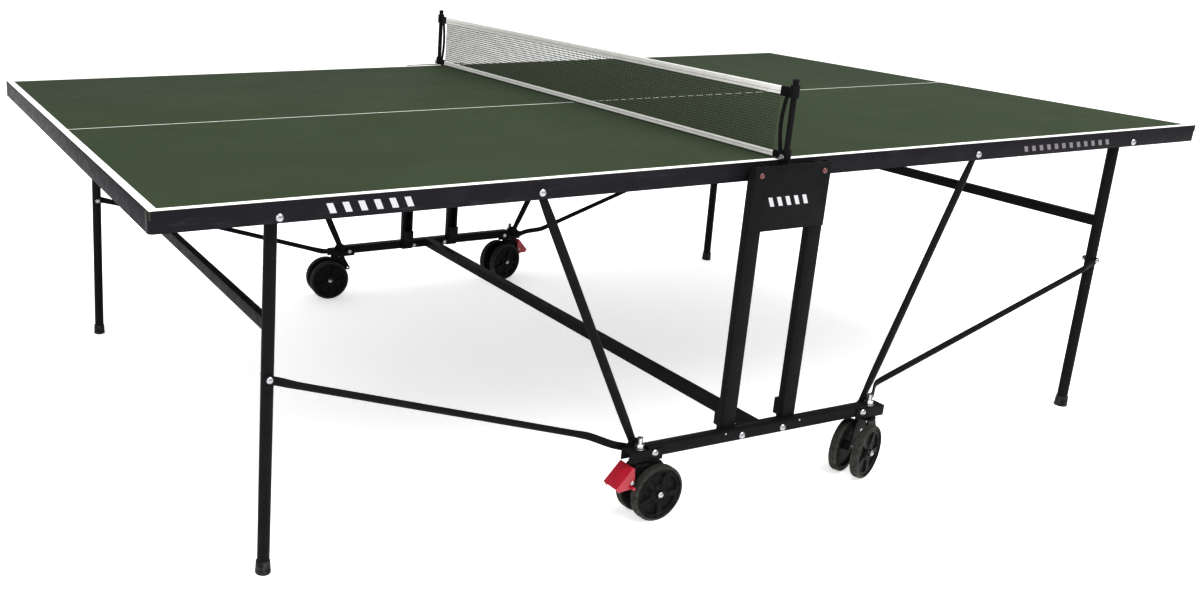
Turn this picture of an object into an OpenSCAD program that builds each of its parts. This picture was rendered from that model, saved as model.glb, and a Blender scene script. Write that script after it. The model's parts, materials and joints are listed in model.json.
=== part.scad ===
/* [Table top] */
// Length of the whole table
table_length = 2740; // [2700:10:2780]
// Width of the table
table_width = 1525; // [1500:5:1540]
// Height of the playing surface above the floor
table_height = 760; // [755:1:765]
// Thickness of each board
board_thickness = 16; // [12:1:18]
// Gap between the two boards at the middle
board_gap = 8; // [8:1:12]
// Height of the steel apron, top edge of the board included
apron_height = 40; // [38:1:44]
// Thickness of the apron's steel
apron_wall = 1.5; // [1.2:0.1:2]
// Width of the apron's channel
apron_channel = 20; // [19:1:24]
// Corner radius of the apron, seen from above
apron_corner = 10; // [6:1:16]

/* [Folding gear] */
// Distance from the middle to each board's sliding pivot
slide_pivot_x = 85; // [80:1:90]
// Height of the sliding pivot
slide_pivot_z = 737; // [736:1:738]
// Distance from the middle to the strut bolt on the apron
strut_bolt_x = 592; // [570:1:620]
// Height of the strut bolt on the apron
strut_bolt_z = 733; // [731:1:734]
// Distance from the middle to the strut's foot
strut_foot_x = 327; // [320:1:335]
// Height of the strut's foot
strut_foot_z = 166; // [160:1:175]
// Distance from the middle to the leg's pivot bolt
leg_bolt_x = 1134; // [1100:1:1160]
// Height of the leg's pivot bolt
leg_bolt_z = 730; // [728:1:731]
// Depth of the rod bolt below the leg's pivot
rod_bolt_drop = 318; // [300:1:330]
// Distance of the rod bolt outside the leg's pivot
rod_bolt_out = 6; // [4:1:8]
// Height of the rod's foot
rod_foot_z = 152; // [148:1:156]

/* [Legs] */
// Diameter of the leg tube
leg_d = 25; // [22:1:26]
// Distance of each leg from the table's centre line
leg_y = 716; // [700:1:720]
// How far the foot stands outside the leg's pivot
leg_lean = 12; // [0:1:16]
// Height of the middle of the leg frame's crossbar
leg_bar_z = 514.5; // [480:1:540]
// Diameter of the plastic foot
foot_d = 34; // [30:1:38]

/* [Base] */
// Distance of the base rail's middle from the centre line
rail_y = 800; // [798:1:804]
// Size of the square base tube
rail_size = 25; // [24:1:28]
// Height of the underside of the base tube
rail_z = 144; // [142:1:150]
// Half length of the base rail
rail_half = 312; // [306:1:318]
// Distance of the caster stems from the middle
stem_x = 327; // [322:1:332]
// Depth of the guide channel
guide_depth = 18; // [17:1:19]
// Width of the guide channel
guide_width = 36; // [34:1:38]
// Height of the underside of the centre plate
plate_z = 617; // [580:1:640]

/* [Casters] */
// Diameter of each wheel
wheel_d = 128; // [120:1:128]
// Width of each wheel
wheel_w = 19; // [16:1:20]
// Distance of the axle behind the stem
caster_trail = 38; // [34:1:42]
// Gap between the two wheels of a caster
wheel_gap = 31; // [30:1:34]
// Heading of the near left caster's trail
near_left_heading = 2; // [-180:1:180]
// Heading of the near right caster's trail
near_right_heading = 200; // [-180:1:360]
// Heading of the far left caster's trail
far_left_heading = 173; // [-180:1:360]
// Heading of the far right caster's trail
far_right_heading = 192; // [-180:1:360]

/* [Net] */
// Height of the net above the table
net_height = 152; // [150:1:155]
// Height of each net post above the table
post_height = 168; // [160:1:175]
// Distance of the net posts from the centre line
post_y = 771; // [770:1:772]
// Diameter of the net post
post_d = 12; // [11:1:12]

/* [Hidden] */
$fn = 48;
running = 0.06;
clear = 0.4;
top_z = table_height;
board_z = top_z - board_thickness;
apron_z = top_z - apron_height;
half_w = table_width / 2;
half_l = table_length / 2;
inner_x = board_gap / 2;
channel_top = board_z - 0.1;
rail_in = rail_y - rail_size / 2;
rail_out = rail_y + rail_size / 2;
rail_top = rail_z + rail_size;
leg_len = leg_bolt_z - 4;
lean_angle = atan(leg_lean / leg_bolt_z);

// y planes of the folding gear, counted outwards from the centre line
strut_top_y = half_w - apron_channel / 2;
strut_low_y = 778.5;
strut_t = 10;
strut_w = 17;
ear_in = rail_in - 3.2;
rod_y = 735.5;
rod_d = 13;
rod_foot_y = 768.5;
rod_flat = 5;
eye_r = 9;
bolt_r = 4;
pin_r = 5.5;
cap_z = 738;
base_bolt_z = rail_z + 10;

// Guide channel and slide block
guide_out = 796;
guide_in = guide_out - guide_depth;
guide_wall = 2;
guide_lip = 6;
guide_top = 757;
block_low = 30;
block_high = 15;

// Where the closed linkage puts the folded half
strut_len = norm([strut_bolt_x - strut_foot_x, strut_bolt_z - strut_foot_z]);
strut_fold_x = slide_pivot_x - (strut_bolt_z - slide_pivot_z);
strut_fold_dz = strut_bolt_x - slide_pivot_x;
pivot_fold_z = strut_foot_z + sqrt(pow(strut_len, 2) - pow(strut_fold_x - strut_foot_x, 2)) - strut_fold_dz;
rod_bolt = [leg_bolt_x + rod_bolt_out, leg_bolt_z - rod_bolt_drop];
leg_fold = [slide_pivot_x - (leg_bolt_z - slide_pivot_z), pivot_fold_z + leg_bolt_x - slide_pivot_x];
rod_fold = [leg_fold.x + rod_bolt_out, leg_fold.y - rod_bolt_drop];
rod_mid = (rod_bolt + rod_fold) / 2;
rod_step = rod_fold - rod_bolt;
rod_foot_x = rod_mid.x - (rod_foot_z - rod_mid.y) * rod_step.y / rod_step.x;
rod_len = norm(rod_bolt - [rod_foot_x, rod_foot_z]);

// Caster heights
axle_z = wheel_d / 2;
fork_z = wheel_d + 2;
fork_t = 4;
stem_r = 6;
web_z = 160;
bracket_t = 3;
pedal_x = -29;
pedal_z = 98;

black = [0.10, 0.10, 0.11];
steel = [0.75, 0.76, 0.78];
green = [0.27, 0.33, 0.25];
red = [0.72, 0.10, 0.13];
cloth = [0.80, 0.80, 0.78];

// ---- Helpers -------------------------------------------------------------

// Draws the children on the far side and mirrored on the near side
module both_sides() {
    children();
    mirror([0, 1, 0]) children();
}

// Draws the children on the right and mirrored on the left
module both_ends() {
    children();
    mirror([1, 0, 0]) children();
}

// A box between two corners
module slab(low, high) {
    translate(low) cube(high - low);
}

// A round bar along y from y0 to y1
module y_bar(x, z, y0, y1, r) {
    translate([x, y0, z]) rotate([-90, 0, 0]) cylinder(h = y1 - y0, r = r);
}

// A hexagon nut with its flats across s, along y
module y_nut(x, z, y0, y1, s) {
    translate([x, y0, z]) rotate([-90, 0, 0]) cylinder(h = y1 - y0, r = s / sqrt(3), $fn = 6);
}

// A domed bolt head that stands outwards from y0
module y_dome(x, z, y0, r, h) {
    ball = (r * r + h * h) / (2 * h);
    translate([x, y0, z]) rotate([-90, 0, 0])
        intersection() {
            cylinder(h = h, r = r);
            translate([0, 0, h - ball]) sphere(r = ball, $fn = 64);
        }
}

// A rectangular bar between two points, w wide in the x-z plane and t thick
module bar_between(p, q, w, t) {
    run = q - p;
    flat = norm([run.x, run.z]);
    translate(p)
        rotate([0, -atan2(run.z, run.x), 0])
            rotate([0, 0, atan2(run.y, flat)])
                translate([0, -t / 2, -w / 2]) cube([norm(run), t, w]);
}

// A round tube between two points
module tube_between(p, q, r) {
    run = q - p;
    translate(p)
        rotate([0, -atan2(run.z, run.x), 0])
            rotate([0, 0, atan2(run.y, norm([run.x, run.z]))])
                rotate([0, 90, 0]) cylinder(h = norm(run), r = r);
}

// ---- Boards and aprons ---------------------------------------------------

module top() {
    color(green) slab([inner_x, -half_w + 1.7, board_z], [half_l - 1.7, half_w - 1.7, top_z]);
}

// Plan of the whole apron: square at the middle, rounded at the outer corners
module apron_plan() {
    r = apron_corner;
    translate([inner_x, -half_w]) square([half_l - r - inner_x, table_width]);
    translate([half_l - r, -half_w + r]) square([r, table_width - 2 * r]);
    for (s = [-1, 1]) translate([half_l - r, s * (half_w - r)]) circle(r = r);
}

// The apron of one half as one frame, before it is cut into rails
module apron_shell() {
    t = apron_wall;
    c = apron_channel;
    difference() {
        translate([0, 0, apron_z]) linear_extrude(apron_height - 0.5) apron_plan();
        // pocket for the board
        slab([inner_x - 1, -half_w + t, channel_top], [half_l - t, half_w - t, top_z + 1]);
        // space under the board
        slab([inner_x + c, -half_w + c, apron_z - 1], [half_l - c, half_w - c, top_z]);
        // the channels, open at the bottom
        for (s = [-1, 1]) {
            mid = s * (half_w - c / 2);
            slab([inner_x + t, mid - c / 2 + t, apron_z - 1], [half_l - t - 4, mid + c / 2 - t, channel_top - t]);
        }
        slab([inner_x + t, -half_w + c, apron_z - 1], [inner_x + c - t, half_w - c, channel_top - t]);
        slab([half_l - c + t, -half_w + c, apron_z - 1], [half_l - t, half_w - c, channel_top - t]);
    }
}

module side_rails() {
    color(black) difference() {
        intersection() {
            apron_shell();
            union() {
                slab([0, half_w - apron_channel, 0], [half_l, half_w, top_z]);
                slab([0, -half_w, 0], [half_l, -half_w + apron_channel, top_z]);
            }
        }
        for (b = [[strut_bolt_x, strut_bolt_z], [leg_bolt_x, leg_bolt_z]])
            both_sides() y_bar(b.x, b.y, half_w - apron_channel - 1, half_w + 1, bolt_r);
        both_sides() y_bar(slide_pivot_x, slide_pivot_z, half_w - apron_channel - 1, half_w + 1, pin_r);
    }
}

module end_rails() {
    color(black) intersection() {
        apron_shell();
        slab([0, -half_w + apron_channel, 0], [half_l, half_w - apron_channel, top_z]);
    }
}

// Shallow hat strips that stiffen the board and clear the folded legs
module braces() {
    depth = 8;
    reach = 690;
    color(black) for (x = [350, 700, 1040]) difference() {
        slab([x - 20, -reach, board_z - depth], [x + 20, reach, board_z]);
        slab([x - 14, -reach - 1, board_z - depth - 1], [x + 14, reach + 1, board_z - 1.5]);
    }
}

// Pin that carries the half in its two slide blocks
module pivot_pins() {
    color(steel) both_sides() {
        y_bar(slide_pivot_x, slide_pivot_z, half_w - apron_channel - 3, guide_out - 4, pin_r);
        y_bar(slide_pivot_x, slide_pivot_z, half_w - apron_channel - 4, half_w - apron_channel, pin_r + 1);
        y_bar(slide_pivot_x, slide_pivot_z, half_w, half_w + 2.5, pin_r + 4.5);
    }
}

module apron_bolts() {
    color(steel) both_sides() {
        for (b = [[strut_bolt_x, strut_bolt_z, half_w - apron_channel - 2],
                [leg_bolt_x, leg_bolt_z, leg_y - leg_d / 2 - 1]]) {
            y_bar(b.x, b.y, b.z, half_w, bolt_r);
            y_dome(b.x, b.y, half_w, 8, 5);
            y_nut(b.x, b.y, b.z - 6, b.z, 12);
        }
        difference() {
            y_bar(leg_bolt_x, leg_bolt_z, leg_y + leg_d / 2 + 0.3, half_w - apron_channel, 8);
            y_bar(leg_bolt_x, leg_bolt_z, leg_y, half_w, bolt_r);
        }
    }
}

module slide_blocks() {
    z = slide_pivot_z;
    w = guide_width / 2 - guide_wall - clear;
    color(black) both_sides() difference() {
        union() {
            slab([slide_pivot_x - w, guide_in + guide_wall + clear, z - block_low],
                [slide_pivot_x + w, guide_out - guide_wall - clear, z + block_high]);
            y_bar(slide_pivot_x, z, guide_in - 8, guide_out - 6, 9.4);
        }
        y_bar(slide_pivot_x, z, guide_in - 9, guide_out, pin_r + running);
    }
}

// ---- Legs ----------------------------------------------------------------

// Puts the children in the frame of one leaning leg, its pivot at the origin
module leg_frame() {
    translate([leg_bolt_x, leg_y, leg_bolt_z]) rotate([0, -lean_angle, 0]) children();
}

module legs() {
    wall = 1.5;
    color(black) both_sides() difference() {
        leg_frame() difference() {
            union() {
                translate([0, 0, -leg_len + 12]) cylinder(h = leg_len - 12, d = leg_d);
                sphere(d = leg_d);
            }
            translate([0, 0, -leg_len]) cylinder(h = leg_len - 14, d = leg_d - 2 * wall);
        }
        y_bar(leg_bolt_x, leg_bolt_z, leg_y - leg_d, leg_y + leg_d, bolt_r + running);
        y_bar(rod_bolt.x, rod_bolt.y, leg_y - leg_d, leg_y + leg_d, bolt_r);
    }
}

module leg_crossbar() {
    x = leg_bolt_x + leg_lean * (leg_bolt_z - leg_bar_z) / leg_bolt_z;
    color(black) difference() {
        slab([x - 8, -leg_y, leg_bar_z - 12.5], [x + 8, leg_y, leg_bar_z + 12.5]);
        slab([x - 6.5, -leg_y - 1, leg_bar_z - 11], [x + 6.5, leg_y + 1, leg_bar_z + 11]);
        both_sides() leg_frame() translate([0, 0, -leg_len]) cylinder(h = leg_len, d = leg_d + 0.02);
    }
}

// Plastic foot with a level sole over the end of each leg
module feet() {
    x = leg_bolt_x + leg_lean;
    color(black) both_sides() difference() {
        translate([x, leg_y, 0]) rotate_extrude()
            polygon([[0, 0], [foot_d / 2 - 2, 0], [foot_d / 2, 2], [foot_d / 2 - 1, 14], [leg_d / 2 + 2, 34],
                [0, 34]]);
        leg_frame() translate([0, 0, -leg_len + 11.9]) cylinder(h = leg_len, d = leg_d + 0.02);
    }
}

module leg_bolts() {
    b = rod_bolt;
    color(steel) both_sides() {
        y_bar(b.x, b.y, leg_y - leg_d / 2 - 1, rod_y - 1, bolt_r);
        y_dome(b.x, b.y, rod_y - 1, 7, 4);
        y_nut(b.x, b.y, leg_y - leg_d / 2 - 7, leg_y - leg_d / 2 - 1, 12);
    }
}

// ---- Struts and rods -----------------------------------------------------

module struts() {
    top = [strut_bolt_x, strut_top_y, strut_bolt_z];
    low = [strut_foot_x, strut_low_y, strut_foot_z];
    color(black) both_sides() difference() {
        union() {
            bar_between(low, top, strut_w, strut_t);
            y_bar(top.x, top.z, top.y - 5.5, top.y + 5.5, eye_r);
            y_bar(low.x, low.z, low.y - 5, low.y + 5, eye_r);
            y_bar(low.x, low.z, low.y, ear_in - 0.3, 5);
        }
        y_bar(top.x, top.z, top.y - 8, top.y + 8, bolt_r + running);
    }
}

// Thin rod: flattened eye at the leg, round tube, flattened double bend at the base
module rods() {
    leg_eye = [rod_bolt.x, 731.3, rod_bolt.y];
    foot_eye = [rod_foot_x, rod_foot_y, rod_foot_z];
    dir = [leg_eye.x - foot_eye.x, 0, leg_eye.z - foot_eye.z] / rod_len;
    bend_0 = foot_eye + dir * 34;
    bend_1 = [foot_eye.x, rod_y, foot_eye.z] + dir * 96;
    tube_0 = [foot_eye.x, rod_y, foot_eye.z] + dir * 118;
    tube_1 = [foot_eye.x, rod_y, foot_eye.z] + dir * (rod_len - 46);
    fork_1 = leg_eye - dir * 16;
    color(black) both_sides() difference() {
        union() {
            y_bar(foot_eye.x, foot_eye.z, foot_eye.y - rod_flat / 2, foot_eye.y + rod_flat / 2, eye_r);
            y_bar(foot_eye.x, foot_eye.z, foot_eye.y, ear_in - 0.3, 4);
            bar_between(foot_eye, bend_0, 17, rod_flat);
            bar_between(bend_0 - dir * 2, bend_1 + dir * 2, 17, rod_flat);
            bar_between(bend_1 - dir * 3, tube_0 + dir * 6, 15, 7);
            tube_between(tube_0, tube_1, rod_d / 2);
            bar_between([tube_1.x, leg_eye.y + 2, tube_1.z] - dir * 6, fork_1 + [0, 0.8, 0], 16, 6);
            bar_between(fork_1 - dir * 4, leg_eye, 17, rod_flat);
            y_bar(leg_eye.x, leg_eye.z, leg_eye.y - rod_flat / 2, leg_eye.y + rod_flat / 2, eye_r);
        }
        y_bar(rod_bolt.x, rod_bolt.y, leg_y, rod_y + 12, bolt_r + running);
    }
}

// ---- Base ----------------------------------------------------------------

module base_rail() {
    wall = 2;
    color(black) difference() {
        slab([-rail_half, rail_in, rail_z], [rail_half, rail_out, rail_top]);
        slab([-rail_half - 1, rail_in + wall, rail_z + wall], [rail_half + 1, rail_out - wall, rail_top - wall]);
        for (x = [58, 296]) both_ends() y_bar(x, base_bolt_z, rail_in - 1, rail_out + 1, bolt_r);
    }
}

module base_crossbar() {
    wall = 2;
    reach = rail_in - 4;
    c = rail_size / 2;
    color(black) difference() {
        union() {
            slab([-c, -reach, rail_z], [c, reach, rail_top]);
            both_sides() slab([-66, reach, rail_z], [66, rail_in, rail_top]);
        }
        slab([-c + wall, -reach + 1, rail_z + wall], [c - wall, reach - 1, rail_top - wall]);
        both_sides() slab([-c + wall, reach - 2, rail_z + wall], [c - wall, rail_in + 1, rail_top - wall]);
        both_sides() both_ends() y_bar(58, base_bolt_z, reach - 1, rail_in + 1, bolt_r);
    }
}

// Two upright channels, open towards the table, with a slot for the pivot pins
module guides() {
    g = guide_wall;
    w = guide_width / 2;
    color(black) both_ends() difference() {
        union() {
            slab([slide_pivot_x - w, guide_in, rail_top], [slide_pivot_x + w, guide_out, guide_top]);
            slab([slide_pivot_x - w, guide_in, rail_z], [slide_pivot_x + w, rail_in, rail_top + 1]);
        }
        slab([slide_pivot_x - w + g, guide_in + g, rail_top + 2], [slide_pivot_x + w - g, guide_out - g, guide_top + 1]);
        slab([slide_pivot_x - w + g + guide_lip, guide_in - 1, rail_top + 2],
            [slide_pivot_x + w - g - guide_lip, guide_in + g + 1, guide_top + 1]);
        slab([slide_pivot_x - w + g, guide_in + g, rail_z - 1], [slide_pivot_x + w - g, rail_in + 1, rail_top]);
        y_bar(slide_pivot_x, cap_z, guide_out - g - 1, guide_out + 1, 3);
    }
}

// Pressed plate that ties the two guides together below the table top
module centre_plate() {
    w = slide_pivot_x + guide_width / 2;
    step = 4;
    color(black) difference() {
        union() {
            slab([-w, guide_out, plate_z], [w, guide_out + 2.5, guide_top]);
            slab([-w + guide_width, guide_in, guide_top - 62], [w - guide_width, guide_out, guide_top - 2.5 - step]);
        }
        slab([-w + guide_width + 2, guide_in + 2, 0], [w - guide_width - 2, guide_out + 0.1, guide_top - 8]);
        for (s = [-1, 1]) y_bar(s * slide_pivot_x, cap_z, guide_out - 1, guide_out + 4, 3);
    }
}

// U-shaped bracket at each end of both base rails, with an ear for the links
module caster_brackets() {
    x0 = 276;
    x1 = 361;
    t = bracket_t;
    color(black) both_sides() both_ends() difference() {
        union() {
            slab([x0, rail_out, 138], [x1, rail_out + t, web_z + t]);
            slab([x0, ear_in, 138], [x1, rail_in, web_z + t]);
            slab([rail_half, ear_in, web_z], [x1, rail_out + t, web_z + t]);
            translate([strut_foot_x + 2, ear_in, web_z]) rotate([-90, 0, 0]) cylinder(h = rail_in - ear_in, r = 22);
        }
        translate([stem_x, rail_y, 0]) cylinder(h = 400, r = stem_r + running);
        y_bar(296, base_bolt_z, ear_in - 1, rail_out + t + 1, bolt_r);
        slab([x0 - 30, ear_in - 1, 100], [x1 + 20, rail_in + 1, 138]);
    }
}

// Threaded stems with their bearing sleeves and nuts
module caster_stems() {
    color(steel) both_sides() both_ends() translate([stem_x, rail_y, 0]) {
        translate([0, 0, fork_z - 5]) cylinder(h = 4.7, r = 9);
        translate([0, 0, fork_z - 1]) cylinder(h = 189 - fork_z, r = stem_r);
        translate([0, 0, fork_z + fork_t + 0.3]) cylinder(h = web_z - fork_z - fork_t - 0.3, r = 10);
        translate([0, 0, web_z + bracket_t]) cylinder(h = 2, r = 12);
        translate([0, 0, web_z + bracket_t + 2]) cylinder(h = 10, r = 9.5 * 2 / sqrt(3), $fn = 6);
        translate([0, 0, 188]) cylinder(h = 2, r1 = stem_r, r2 = stem_r - 2);
    }
}

module base_bolts() {
    color(steel) both_sides() both_ends() {
        y_bar(296, base_bolt_z, ear_in - 2, rail_out + bracket_t, bolt_r);
        y_dome(296, base_bolt_z, rail_out + bracket_t, 8, 5);
        y_nut(296, base_bolt_z, ear_in - 6, ear_in, 12);
        y_bar(58, base_bolt_z, rail_in - 6, rail_out, bolt_r);
        y_dome(58, base_bolt_z, rail_out, 8, 5);
        y_nut(58, base_bolt_z, rail_in - 10, rail_in - 4, 12);
        y_dome(slide_pivot_x + 20, rail_z + 21, rail_out, 2.5, 1.5);
    }
}

// Rubber stops at the foot of the guides
module slide_buffers() {
    w = guide_width / 2 - guide_wall - 1;
    stop_z = pivot_fold_z - block_low - 1;
    color(black) both_sides() both_ends() {
        slab([slide_pivot_x - w, guide_in + guide_wall, rail_top + 2],
            [slide_pivot_x + w, guide_out - guide_wall, stop_z]);
        slab([slide_pivot_x - w + guide_lip + 1, guide_in - 8, rail_top + 2],
            [slide_pivot_x + w - guide_lip - 1, guide_in + guide_wall, stop_z]);
        slab([slide_pivot_x - w, guide_in - 14, rail_top + 0.2], [slide_pivot_x + w, guide_in - 0.2, stop_z]);
    }
}

// Red domed caps over the bolts that hold the plate to the guides
module plate_caps() {
    color(red) both_sides() both_ends() {
        y_dome(slide_pivot_x, cap_z, guide_out + 2.5, 6.5, 5);
        y_bar(slide_pivot_x, cap_z, guide_out - 1.9, guide_out + 2.5, 3);
    }
}

// ---- Net -----------------------------------------------------------------

module net_posts() {
    base = 40;
    color(black) both_sides() {
        translate([0, post_y, top_z - base]) cylinder(h = base + post_height, d = post_d);
        slab([-14, post_y - 5.5, top_z - base - 6], [14, guide_in, top_z - base + 2]);
        slab([-14, post_y - 3, top_z - base + 2], [14, guide_in, top_z - 6]);
        for (z = [top_z + 8, top_z + net_height - 12])
            slab([-4, post_y - 20, z], [4, post_y, z + 10]);
        translate([0, post_y, top_z + post_height]) cylinder(h = 3, d1 = post_d, d2 = post_d - 4);
    }
}

module net() {
    reach = post_y - 23;
    color(cloth) slab([-1, -reach, top_z + 14], [1, reach, top_z + net_height - 16]);
}

module net_tapes() {
    reach = post_y - 20.3;
    color("white") {
        slab([-2, -reach, top_z + net_height - 16], [2, reach, top_z + net_height]);
        slab([-1.5, -reach, top_z + 4], [1.5, reach, top_z + 14]);
    }
}

// ---- Casters -------------------------------------------------------------

// Puts the children at one stem, turned so that local +x is the trail
module at_caster(sx, sy, heading) {
    translate([sx * stem_x, sy * rail_y, 0]) rotate([0, 0, heading]) children();
}

module fork() {
    gap = 10;
    cheek = 3;
    color(black) difference() {
        union() {
            translate([0, 0, fork_z]) cylinder(h = fork_t, r = 20);
            both_sides() translate([0, gap + cheek, 0]) rotate([90, 0, 0]) linear_extrude(cheek) {
                polygon([[-18, fork_z + 1], [18, fork_z + 1], [caster_trail + 11, axle_z + 8],
                    [caster_trail - 9, axle_z - 8], [-8, 94], [pedal_x + 1, pedal_z - 6.5],
                    [pedal_x - 6, pedal_z + 3]]);
                translate([caster_trail, axle_z]) circle(r = 12.5);
                translate([pedal_x, pedal_z]) circle(r = 7);
            }
            slab([-19, -gap - 1, fork_z - 4], [-13, gap + 1, fork_z + 1]);
        }
        translate([0, 0, fork_z - 10]) cylinder(h = 30, r = stem_r + running);
        y_bar(caster_trail, axle_z, -20, 20, 5.02);
        translate([0, 0, fork_z - 6]) cylinder(h = 6, r = 9.6);
        y_bar(pedal_x, pedal_z, -20, 20, 3);
    }
}

module axle(pedal_pin = false) {
    reach = wheel_gap / 2 + wheel_w;
    color(steel) {
        y_bar(caster_trail, axle_z, -reach - 4, reach + 4, 5);
        both_sides() {
            y_nut(caster_trail, axle_z, reach + 0.6, reach + 5, 13);
            y_dome(caster_trail, axle_z, reach + 5, 6.5, 4);
            difference() {
                y_bar(caster_trail, axle_z, 13, wheel_gap / 2 - 0.4, 8);
                y_bar(caster_trail, axle_z, 12, wheel_gap / 2, 5);
            }
        }
        if (pedal_pin) {
            y_bar(pedal_x, pedal_z, -24, 24, 3);
            both_sides() y_dome(pedal_x, pedal_z, 23.4, 5, 3);
        }
    }
}

// One wheel: tread ring, hub and a recessed web with spokes
module wheel() {
    r = wheel_d / 2;
    w = wheel_w;
    color(black) translate([caster_trail, wheel_gap / 2, axle_z]) rotate([-90, 0, 0]) difference() {
        union() {
            rotate_extrude() polygon([[5 + running, 0], [11, 0], [11, 6], [r - 12, 6], [r - 12, 0], [r - 3, 0],
                [r, 3], [r, w - 3], [r - 3, w], [r - 10, w], [r - 12, w - 8], [13, w - 8], [13, w],
                [5 + running, w]]);
            for (a = [0:72:288]) rotate([0, 0, a]) slab([12, -5, 5], [r - 11, 5, w - 3]);
        }
    }
}

// Foot pedal of the brake: sloping tread plate, two cheeks, hinge sleeves and shoe bar
module pedal() {
    reach = 22;
    high = [-25, 130];
    low = [-66, 86];
    color(red) difference() {
        union() {
            both_sides() translate([0, reach, 0]) rotate([90, 0, 0]) linear_extrude(4)
                polygon([high, low, low + [3, -5], [pedal_x - 8, pedal_z - 15], [pedal_x - 1, pedal_z - 15],
                    [pedal_x + 6.5, pedal_z - 4], [pedal_x + 7, pedal_z + 12]]);
            both_sides() y_bar(pedal_x, pedal_z, 13.4, reach + 1, 6);
            translate([0, reach, 0]) rotate([90, 0, 0]) linear_extrude(2 * reach)
                polygon([high, low, low + [-4, 4], high + [-4, 3]]);
            y_bar(pedal_x + 0.5, pedal_z - 11, -30, 30, 3.5);
        }
        y_bar(pedal_x, pedal_z, -40, 40, 3 + running);
    }
}

// ---- One line per node ---------------------------------------------------

mirror([0, 1, 0]) base_rail();  // near_base_rail
base_rail();  // far_base_rail
base_crossbar();
mirror([0, 1, 0]) guides();  // near_guides
guides();  // far_guides
mirror([0, 1, 0]) centre_plate();  // near_centre_plate
centre_plate();  // far_centre_plate
caster_brackets();
caster_stems();
base_bolts();
slide_buffers();
plate_caps();
net_posts();
net();
net_tapes();
mirror([1, 0, 0]) top();  // left_top
mirror([1, 0, 0]) side_rails();  // left_side_rails
mirror([1, 0, 0]) end_rails();  // left_end_rails
mirror([1, 0, 0]) braces();  // left_braces
mirror([1, 0, 0]) pivot_pins();  // left_pivot_pins
mirror([1, 0, 0]) apron_bolts();  // left_apron_bolts
mirror([1, 0, 0]) slide_blocks();  // left_slide_blocks
mirror([1, 0, 0]) legs();  // left_legs
mirror([1, 0, 0]) leg_crossbar();  // left_leg_crossbar
mirror([1, 0, 0]) feet();  // left_feet
mirror([1, 0, 0]) leg_bolts();  // left_leg_bolts
mirror([1, 0, 0]) struts();  // left_struts
mirror([1, 0, 0]) rods();  // left_rods
top();  // right_top
side_rails();  // right_side_rails
end_rails();  // right_end_rails
braces();  // right_braces
pivot_pins();  // right_pivot_pins
apron_bolts();  // right_apron_bolts
slide_blocks();  // right_slide_blocks
legs();  // right_legs
leg_crossbar();  // right_leg_crossbar
feet();  // right_feet
leg_bolts();  // right_leg_bolts
struts();  // right_struts
rods();  // right_rods
at_caster(-1, -1, near_left_heading) fork();  // near_left_fork
at_caster(-1, -1, near_left_heading) axle(pedal_pin = true);  // near_left_axle
at_caster(-1, -1, near_left_heading) mirror([0, 1, 0]) wheel();  // near_left_outer_wheel
at_caster(-1, -1, near_left_heading) wheel();  // near_left_inner_wheel
at_caster(1, -1, near_right_heading) fork();  // near_right_fork
at_caster(1, -1, near_right_heading) axle();  // near_right_axle
at_caster(1, -1, near_right_heading) wheel();  // near_right_outer_wheel
at_caster(1, -1, near_right_heading) mirror([0, 1, 0]) wheel();  // near_right_inner_wheel
at_caster(-1, 1, far_left_heading) fork();  // far_left_fork
at_caster(-1, 1, far_left_heading) axle();  // far_left_axle
at_caster(-1, 1, far_left_heading) mirror([0, 1, 0]) wheel();  // far_left_outer_wheel
at_caster(-1, 1, far_left_heading) wheel();  // far_left_inner_wheel
at_caster(1, 1, far_right_heading) fork();  // far_right_fork
at_caster(1, 1, far_right_heading) axle(pedal_pin = true);  // far_right_axle
at_caster(1, 1, far_right_heading) mirror([0, 1, 0]) wheel();  // far_right_outer_wheel
at_caster(1, 1, far_right_heading) wheel();  // far_right_inner_wheel
at_caster(-1, -1, near_left_heading) pedal();  // near_left_pedal
at_caster(1, 1, far_right_heading) pedal();  // far_right_pedal
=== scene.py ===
import json
import math

import bmesh
import bpy
from bpy.props import FloatProperty, FloatVectorProperty, IntProperty, PointerProperty
from bpy.types import Operator, Panel, PropertyGroup
from mathutils import Matrix, Vector

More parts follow.
